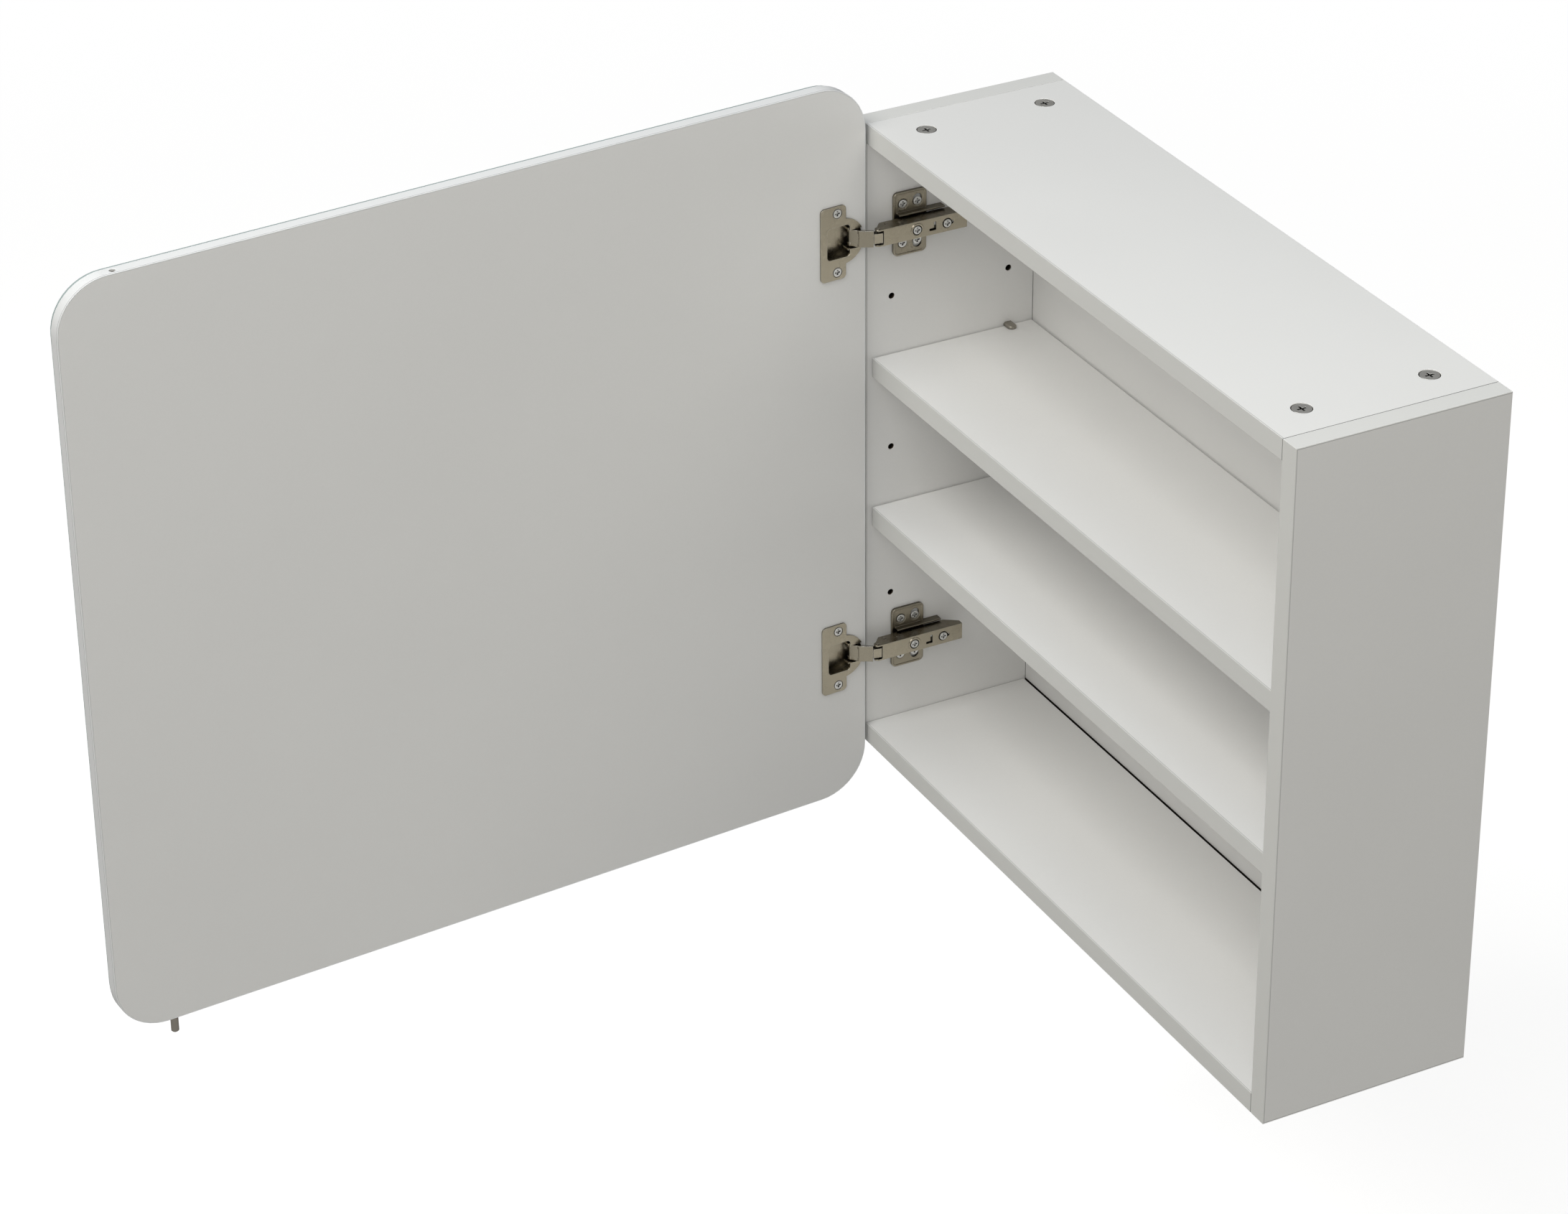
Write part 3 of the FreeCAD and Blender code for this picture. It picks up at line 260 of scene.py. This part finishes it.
# The margin held in the grooves is painted near black: painted shade in the gap between panel and boards.
lacquer = hidden.rise(*GROOVE_SHADE_STEP).blend(DEEP_SHADE, lacquer)
brown = fibre * FIBRE_SHARE + cloud * (1 - FIBRE_SHARE)
brown = brown.rise(*FIBRE_SPREAD).blend(FIBRE_PALE, FIBRE_DARK)
rear.blend(lacquer, brown).feed(shader, "Base Color")
(LACQUER_ROUGH + rear * BARE_ROUGH + fibre * FIBRE_ROUGH).feed(shader, "Roughness")
relief(shader, fibre, FIBRE_SHOWS, FIBRE_DEEP)
dress(hardboard, "back_panel")

# Shelves: two loose boards of the same melamine chipboard, taped along the front edge.
# They lie on four supports each and are set back a little from the front of the carcass.

for board in ("upper_shelf", "lower_shelf"):
    dress(melamine(board + "_melamine", WHITE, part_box(board)), board)
ease(BOARD_EDGE, "upper_shelf", "lower_shelf")

# Shelf supports and stops: steel pegs pushed into the peg holes, plated and a little dulled.
# The supports have a half-round tongue under the shelf, and the stops a flat pad over its rear corners.

STEEL = (0.38, 0.355, 0.31, 1)
HIGHLIGHT_WHITE = (0.97, 0.95, 0.90, 1)
HIGHLIGHT_TURN = (0.02, 0.22)
HIGHLIGHT_OPEN = (0.45, 0.8)
PLATED_TONES = (0.95, 1.05)
PLATED_PATCHES = 70.0
PLATED_SATIN = 3200.0
PATCH_ROUGH = 0.10
PATCH_HEIGHT = 0.5
SATIN_ROUGH = 0.06
SATIN_DEEP = 0.03 * MM
SATIN_SHOWS = 0.12
DARK_TOP_UP = (0.5, 0.9)
DARK_TOP_LEVEL = 0.15
SHADE_OPEN = (0.2, 0.75)
SHADE_LEVEL = 0.05
OCCLUSION_REACH = 6 * MM
PEG_EDGE = 0.25 * MM


def along(run, axis):
    """How far a vector runs along an axis of length 1."""
    return run.node("VectorMath", {"operation": "DOT_PRODUCT"}, {0: run, 1: axis}, "Value")


def plated(name, tint, rough, edge=0.35 * MM, painted_shade=0.75, edge_highlight=0.5, dark_top=0.0, shaded_place=None):
    """Plated metal with a fine satin, a painted highlight along its edges, a painted dark reflection on
    upward faces, and painted shade in holes and corners.
    """
    material, shader, at = finish(name, Metallic=1.0)
    patch = noise(at, PLATED_PATCHES, detail=3.0)
    satin = noise(at, PLATED_SATIN)
    open_air = at.node("AmbientOcclusion", {"samples": 8}, {"Distance": OCCLUSION_REACH}, "AO")
    rounded = at.node("Bevel", {"samples": 4}, {"Radius": edge})
    flat = at.node("NewGeometry", out="Normal")
    turned = 1 - along(rounded, flat)
    # Turned, open edges are painted near white: a painted highlight.
    highlit = turned.rise(*HIGHLIGHT_TURN) * open_air.rise(*HIGHLIGHT_OPEN) * edge_highlight
    metal = patch.blend(*tones(tint, PLATED_TONES))
    if dark_top:
        # Upward faces are painted darker: a painted dark reflection.
        upward = along(flat, (0, 0, 1))
        metal = (upward.rise(*DARK_TOP_UP) * dark_top).blend(metal, shade(tint, DARK_TOP_LEVEL))
    metal = highlit.blend(metal, HIGHLIGHT_WHITE)
    # Holes, corners and recesses are painted near black from ambient occlusion: painted shade.
    dark = (1 - open_air.rise(*SHADE_OPEN)) * painted_shade
    # The caller may add more painted shade where light hardly reaches.
    if shaded_place:
        dark = dark.most(shaded_place(at))
    dark.blend(metal, shade(tint, SHADE_LEVEL)).feed(shader, "Base Color")
    (rough - PATCH_ROUGH / 2 + patch * PATCH_ROUGH + satin * SATIN_ROUGH).feed(shader, "Roughness")
    relief(shader, satin + patch * PATCH_HEIGHT, SATIN_SHOWS, SATIN_DEEP, Normal=rounded)
    return material


dress(plated("plated_steel", STEEL, rough=0.36), "shelf_supports", "shelf_stops")
ease(PEG_EDGE, "shelf_supports", "shelf_stops")

# Corner fittings: zinc cam locks let into the top and bottom boards, steel bolts that they draw on,
# and beech dowels. Only the cams show, flush with the boards, each with a cross for the driver.

ZINC_CAM = (0.84, 0.83, 0.80, 1)
CAM_EDGE = 0.2 * MM
BEECH_PALE = (0.62, 0.42, 0.25, 1)
BEECH_DARK = (0.45, 0.28, 0.15, 1)
BEECH_IOR = 1.5
BEECH_STRETCH = (60, 900, 900)
BEECH_SPREAD = (0.3, 0.7)
BEECH_ROUGH = 0.55
BEECH_ROUGH_DRIFT = 0.15
BEECH_DEEP = 0.1 * MM
BEECH_SHOWS = 0.3

cast_zinc = plated("cast_zinc", ZINC_CAM, rough=0.42, edge=0.3 * MM, painted_shade=0.95)
dress(cast_zinc, "top_cam_locks", "bottom_cam_locks")
ease(CAM_EDGE, "top_cam_locks", "bottom_cam_locks")
dress(plated("bolt_steel", STEEL, rough=0.34), "cam_bolts")

beech, shader, at = finish("beech", IOR=BEECH_IOR)
stretched = at.node("Mapping", None, {"Vector": at, "Scale": BEECH_STRETCH})
grain = noise(stretched, 1.0, detail=4.0)
grain.rise(*BEECH_SPREAD).blend(BEECH_PALE, BEECH_DARK).feed(shader, "Base Color")
(BEECH_ROUGH + grain * BEECH_ROUGH_DRIFT).feed(shader, "Roughness")
relief(shader, grain, BEECH_SHOWS, BEECH_DEEP)
dress(beech, "dowels")

# Wall brackets: bent zinc-plated steel angles screwed to the inside of the sides behind the back panel.
# Each has a keyhole that drops over a wall screw, and two countersunk screws.

ZINC = (0.70, 0.71, 0.72, 1)
SCREW_ZINC = (0.78, 0.78, 0.77, 1)
BRACKET_EDGE = 0.3 * MM
SCREW_EDGE = 0.14 * MM

bright_zinc = plated("bright_zinc", ZINC, rough=0.30, edge=0.5 * MM)
screw_zinc = plated("screw_zinc", SCREW_ZINC, rough=0.26, edge=0.25 * MM, painted_shade=0.95)
dress(bright_zinc, "left_wall_bracket", "right_wall_bracket")
dress(screw_zinc, "bracket_screws")
ease(BRACKET_EDGE, "left_wall_bracket", "right_wall_bracket")
ease(SCREW_EDGE, "bracket_screws")

# Hinges: a wing plate screwed to the left side, a channel arm on it with two adjusting screws,
# and two links on riveted pins. All of it is pressed steel with a satin nickel plating.

HINGES = ("upper_", "lower_")
HINGE_MID = -215 * MM
HINGE_HALF = 178 * MM
NICKEL = (0.47, 0.425, 0.335, 1)
# Hinge nickel carries painted light: shade in holes, highlights on edges, and a dark reflection on upward
# faces.
NICKEL_PAINTED_LIGHT = {"painted_shade": 0.95, "edge_highlight": 0.9, "dark_top": 0.6}
PLATE_SHADE_LEVEL = 0.78
UNDER_ARM_SHADE = (4.6 * MM, 5.0 * MM)
PLATE_EDGE = 0.3 * MM
ARM_EDGE = 0.25 * MM


def shade_under_arm(at):
    """1 in the narrow space between the arm and the plate, which light hardly reaches, where painted shade
    goes.
    """
    up = axes(at)[2]
    off_arm = abs(abs(up - HINGE_MID) - HINGE_HALF)
    return 1 - off_arm.rise(*UNDER_ARM_SHADE)


nickel = plated("satin_nickel", NICKEL, rough=0.24, edge=0.45 * MM, **NICKEL_PAINTED_LIGHT)
# The mounting plates take a darker copy of the nickel, as painted shade, and painted shade under the arm.
shaded_nickel = plated(
    "shaded_nickel", shade(NICKEL, PLATE_SHADE_LEVEL), rough=0.26, edge=0.5 * MM, shaded_place=shade_under_arm, **NICKEL_PAINTED_LIGHT)
for hinge in HINGES:
    dress(shaded_nickel, hinge + "mounting_plate")
    dress(nickel, hinge + "hinge_arm", hinge + "arm_pins")
    dress(nickel, hinge + "outer_link", hinge + "inner_link")
    dress(screw_zinc, hinge + "plate_screws", hinge + "adjusting_screws")
    ease(PLATE_EDGE, hinge + "mounting_plate")
    ease(ARM_EDGE, hinge + "hinge_arm")
    ease(SCREW_EDGE, hinge + "plate_screws", hinge + "adjusting_screws")

# Hinge cups: deep-drawn nickel-plated cups pressed into the door, each with a flange and two screws.
# The links go into the cup through a window in its rim and turn there on two studs and a pin.

for hinge in HINGES:
    dress(nickel, hinge + "hinge_cup", hinge + "cup_studs", hinge + "cup_pin")
    dress(screw_zinc, hinge + "cup_screws")
    ease(SCREW_EDGE, hinge + "cup_screws")

# Door: a 10 mm board with the same melamine inside, a white plastic band round its edge, and holes
# for the pull in the upper and lower edge. It stands open, so its own axes are turned with it.

DOOR_OPEN = math.radians(86)
DOOR_EDGE = Vector((-274.34, -171.34, 0)) * MM
DOOR_ALONG = Vector((math.cos(DOOR_OPEN), -math.sin(DOOR_OPEN), 0))
DOOR_INWARD = Vector((math.sin(DOOR_OPEN), math.cos(DOOR_OPEN), 0))
DOOR_WIDE = 643 * MM
DOOR_BOARD = 10 * MM
DOOR_LEVEL = 0.985
BAND_THICK = 1 * MM
BAND_WHITE = (0.89, 0.90, 0.91, 1)
BAND_TONES = (0.98, 1.02)
BAND_IOR = 1.5
BAND_CLOUDS = 30.0
BAND_RIPPLES = 900.0
BAND_ROUGH = 0.30
BAND_ROUGH_DRIFT = 0.12
BAND_DEEP = 0.04 * MM
BAND_SHOWS = 0.15
BAND_SEAM = 0.8 * MM
BAND_LINE = (0.2 * MM, 0.45 * MM)
BAND_LINE_LEVEL = 0.25
BAND_EDGE = 0.4 * MM


def door_axes(at):
    """Distances along the door from its hinge edge, into the board from its inner face, and up."""
    return [along(at, axis) - axis.dot(DOOR_EDGE) for axis in (DOOR_ALONG, DOOR_INWARD, Vector((0, 0, 1)))]


door_low, door_high = [corner[2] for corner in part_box("door_panel")]
door_box = ((BAND_THICK, -DOOR_BOARD, door_low), (DOOR_WIDE - BAND_THICK, 0, door_high))
dress(melamine("door_melamine", shade(WHITE, DOOR_LEVEL), door_box, door_axes), "door_panel")

band, shader, at = finish("edge_band", IOR=BAND_IOR)
cloud = noise(at, BAND_CLOUDS, detail=3.0)
ripple = noise(at, BAND_RIPPLES)
inward = door_axes(at)[1]
line = 1 - abs(inward + BAND_SEAM).rise(*BAND_LINE)
plastic = cloud.blend(*tones(BAND_WHITE, BAND_TONES))
(line * SEAM_SHOWS).blend(plastic, shade(BAND_WHITE, BAND_LINE_LEVEL)).feed(shader, "Base Color")
(BAND_ROUGH + ripple * BAND_ROUGH_DRIFT).feed(shader, "Roughness")
relief(shader, ripple, BAND_SHOWS, BAND_DEEP)
dress(band, "door_edge_band")
ease(BAND_EDGE, "door_edge_band")

# Mirror: 3 mm silvered glass with a ground and polished edge, glued all over to the door's outer face.
# The silver is behind the glass, so the face shows a faint green and the edge shows more of it.

SILVER = (0.86, 0.885, 0.88, 1)
SILVER_TONES = (0.99, 1.01)
SILVER_FACING = (0.75, 0.95)
SILVER_CLOUDS = 5.0
SILVER_ROUGH = 0.015
SILVER_ROUGH_DRIFT = 0.01
GLASS_IOR = 1.52
GLASS_EDGE = (0.50, 0.60, 0.60, 1)
GLASS_EDGE_METAL = 0.25
GLASS_EDGE_ROUGH = 0.10
GLASS_ROUNDING = 0.6 * MM
GLUE = (0.62, 0.61, 0.58, 1)
GLUE_TONES = (0.9, 1.1)
GLUE_IOR = 1.45
GLUE_COMB = 300.0
GLUE_ROUGH = 0.5
GLUE_ROUGH_DRIFT = 0.2

mirror, shader, at = finish("silvered_glass", IOR=GLASS_IOR)
facing = abs(along(at.node("TexCoord", out="Normal"), DOOR_INWARD))
silver = facing.rise(*SILVER_FACING)
cloud = noise(at, SILVER_CLOUDS, detail=3.0)
face = cloud.blend(*tones(SILVER, SILVER_TONES))
polish = GLASS_EDGE_ROUGH - silver * (GLASS_EDGE_ROUGH - SILVER_ROUGH)
silver.blend(GLASS_EDGE, face).feed(shader, "Base Color")
(GLASS_EDGE_METAL + silver * (1 - GLASS_EDGE_METAL)).feed(shader, "Metallic")
(polish + cloud * SILVER_ROUGH_DRIFT).feed(shader, "Roughness")
dress(mirror, "mirror_pane")
ease(GLASS_ROUNDING, "mirror_pane")

glue, shader, at = finish("mirror_glue", IOR=GLUE_IOR)
comb = noise(at, GLUE_COMB, detail=3.0)
comb.blend(*tones(GLUE, GLUE_TONES)).feed(shader, "Base Color")
(GLUE_ROUGH + comb * GLUE_ROUGH_DRIFT).feed(shader, "Roughness")
dress(glue, "mirror_adhesive")

# Pull: a small turned pin pressed into the door's lower edge near the free corner.
# It is steel with a dark plating, with a painted highlight along its edges.

PULL_METAL = (0.34, 0.31, 0.27, 1)
PULL_EDGE = 0.2 * MM

dress(plated("pull_plating", PULL_METAL, rough=0.28, edge=0.3 * MM), "pull_pin")
ease(PULL_EDGE, "pull_pin")

# Studio floor and surround: a plain white floor below the hanging cabinet and an even pale surround.
# Both show white to the eye, and near the cabinet the floor keeps its shadow.

FLOOR_BELOW = 350 * MM
FLOOR_REACH = 14.0
FLOOR_WHITE = (0.62, 0.62, 0.62, 1)
FLOOR_ROUGH = 0.9
FLOOR_LIFT = 0.73
FLOOR_FORWARD = -0.4
FLOOR_FADE = (1.2, 3.0)
PLAIN_WHITE = (1, 1, 1, 1)
SURROUND = (1.0, 0.98, 0.94, 1)
SURROUND_LEVEL = 0.195

scene = bpy.context.scene
scene.view_settings.view_transform = "Standard"

floor_level = cad_box[0][2] - FLOOR_BELOW
floor_corners = [(-1, -1), (1, -1), (1, 1), (-1, 1)]
floor_mesh = bpy.data.meshes.new("floor")
floor_mesh.from_pydata(
    [(x * FLOOR_REACH, y * FLOOR_REACH, floor_level) for x, y in floor_corners], [], [(0, 1, 2, 3)])
floor = bpy.data.objects.new("floor", floor_mesh)
scene.collection.objects.link(floor)


def seen_rays(wire):
    """1 for rays from the eye, straight or through glass, and 0 for those of light and reflections."""
    camera, through = wire.node("LightPath", out=("Is Camera Ray", "Is Transmission Ray"))
    return camera.most(through)


floor_paint, shader, at = finish("floor_paint", Base_Color=FLOOR_WHITE, Roughness=FLOOR_ROUGH)
centre = Vector((0, FLOOR_FORWARD, floor_level))
off_centre = at.node("VectorMath", {"operation": "DISTANCE"}, {0: at, 1: centre}, "Value")
far = off_centre.rise(*FLOOR_FADE)
seen = seen_rays(at)
painted = Wire(at.tree, shader.outputs[0])
lift = at.node("Emission", None, {"Strength": FLOOR_LIFT})
lifted = at.node("AddShader", None, {0: painted, 1: lift})
near_floor = at.node("MixShader", None, {0: seen, 1: painted, 2: lifted})
plain = at.node("Emission", None, {"Strength": 1.0})
whole_floor = at.node("MixShader", None, {0: seen * far, 1: near_floor, 2: plain})
whole_floor.feed(at.tree.nodes["Material Output"], "Surface")
floor_mesh.materials.append(floor_paint)

world = bpy.data.worlds.new("surround")
scene.world = world
world.use_nodes = True
wire = Wire(world.node_tree)
pale = wire.node("Background", None, {"Color": SURROUND, "Strength": SURROUND_LEVEL})
white = wire.node("Background", None, {"Color": PLAIN_WHITE, "Strength": 1.0})
seen_world = wire.node("MixShader", None, {0: seen_rays(wire), 1: pale, 2: white})
seen_world.feed(wire.tree.nodes["World Output"], "Surface")

# Studio lamps: four large soft panels, all aimed at the middle of the cabinet and unseen by the camera.
# The front one is the key. The one overhead is cool, and those on the right and at the corner fill in.

LAMP_AIM = Vector((0.0, -0.3, -0.2))
LAMP_SIDE = 1.6
OVERHEAD_SIDE = 2.2


def soft_lamp(name, place, side, watts, colour):
    lamp = bpy.data.lights.new(name, "AREA")
    lamp.shape = "SQUARE"
    lamp.size = side
    lamp.energy = watts
    lamp.color = colour
    holder = bpy.data.objects.new(name, lamp)
    holder.location = place
    holder.rotation_euler = (LAMP_AIM - Vector(place)).to_track_quat("-Z", "Y").to_euler()
    holder.visible_camera = False
    scene.collection.objects.link(holder)


soft_lamp("front", place=(0.1, -1.9, 2.1), side=LAMP_SIDE, watts=39.5, colour=(1.0, 0.985, 0.935))
soft_lamp("overhead", place=(0.2, -0.5, 2.3), side=OVERHEAD_SIDE, watts=13, colour=(0.72, 0.84, 1.0))
soft_lamp("right", place=(2.1, 0.3, 1.8), side=LAMP_SIDE, watts=13.5, colour=(1.0, 0.98, 0.895))
soft_lamp("fill", place=(1.7, -1.7, 1.6), side=LAMP_SIDE, watts=14.5, colour=(1.0, 0.975, 0.92))

# Camera: high on the right in front of the cabinet, as in the photograph, with a long lens.
# The frame is shifted down a little, because the photograph looks like the lower part of a larger one.

SENSOR = 36.0
LENS = 109.28
FRAME_SHIFT = -0.08
CAMERA_PLACE = (2.5252, -1.6932, 1.4860)
CAMERA_TURN = (61.487, 0.422, 62.358)

camera_data = bpy.data.cameras.new("camera")
camera_data.sensor_width = SENSOR
camera_data.lens = LENS
camera_data.shift_y = FRAME_SHIFT
camera = bpy.data.objects.new("camera", camera_data)
camera.location = CAMERA_PLACE
camera.rotation_euler = [math.radians(turn) for turn in CAMERA_TURN]
scene.collection.objects.link(camera)
scene.camera = camera
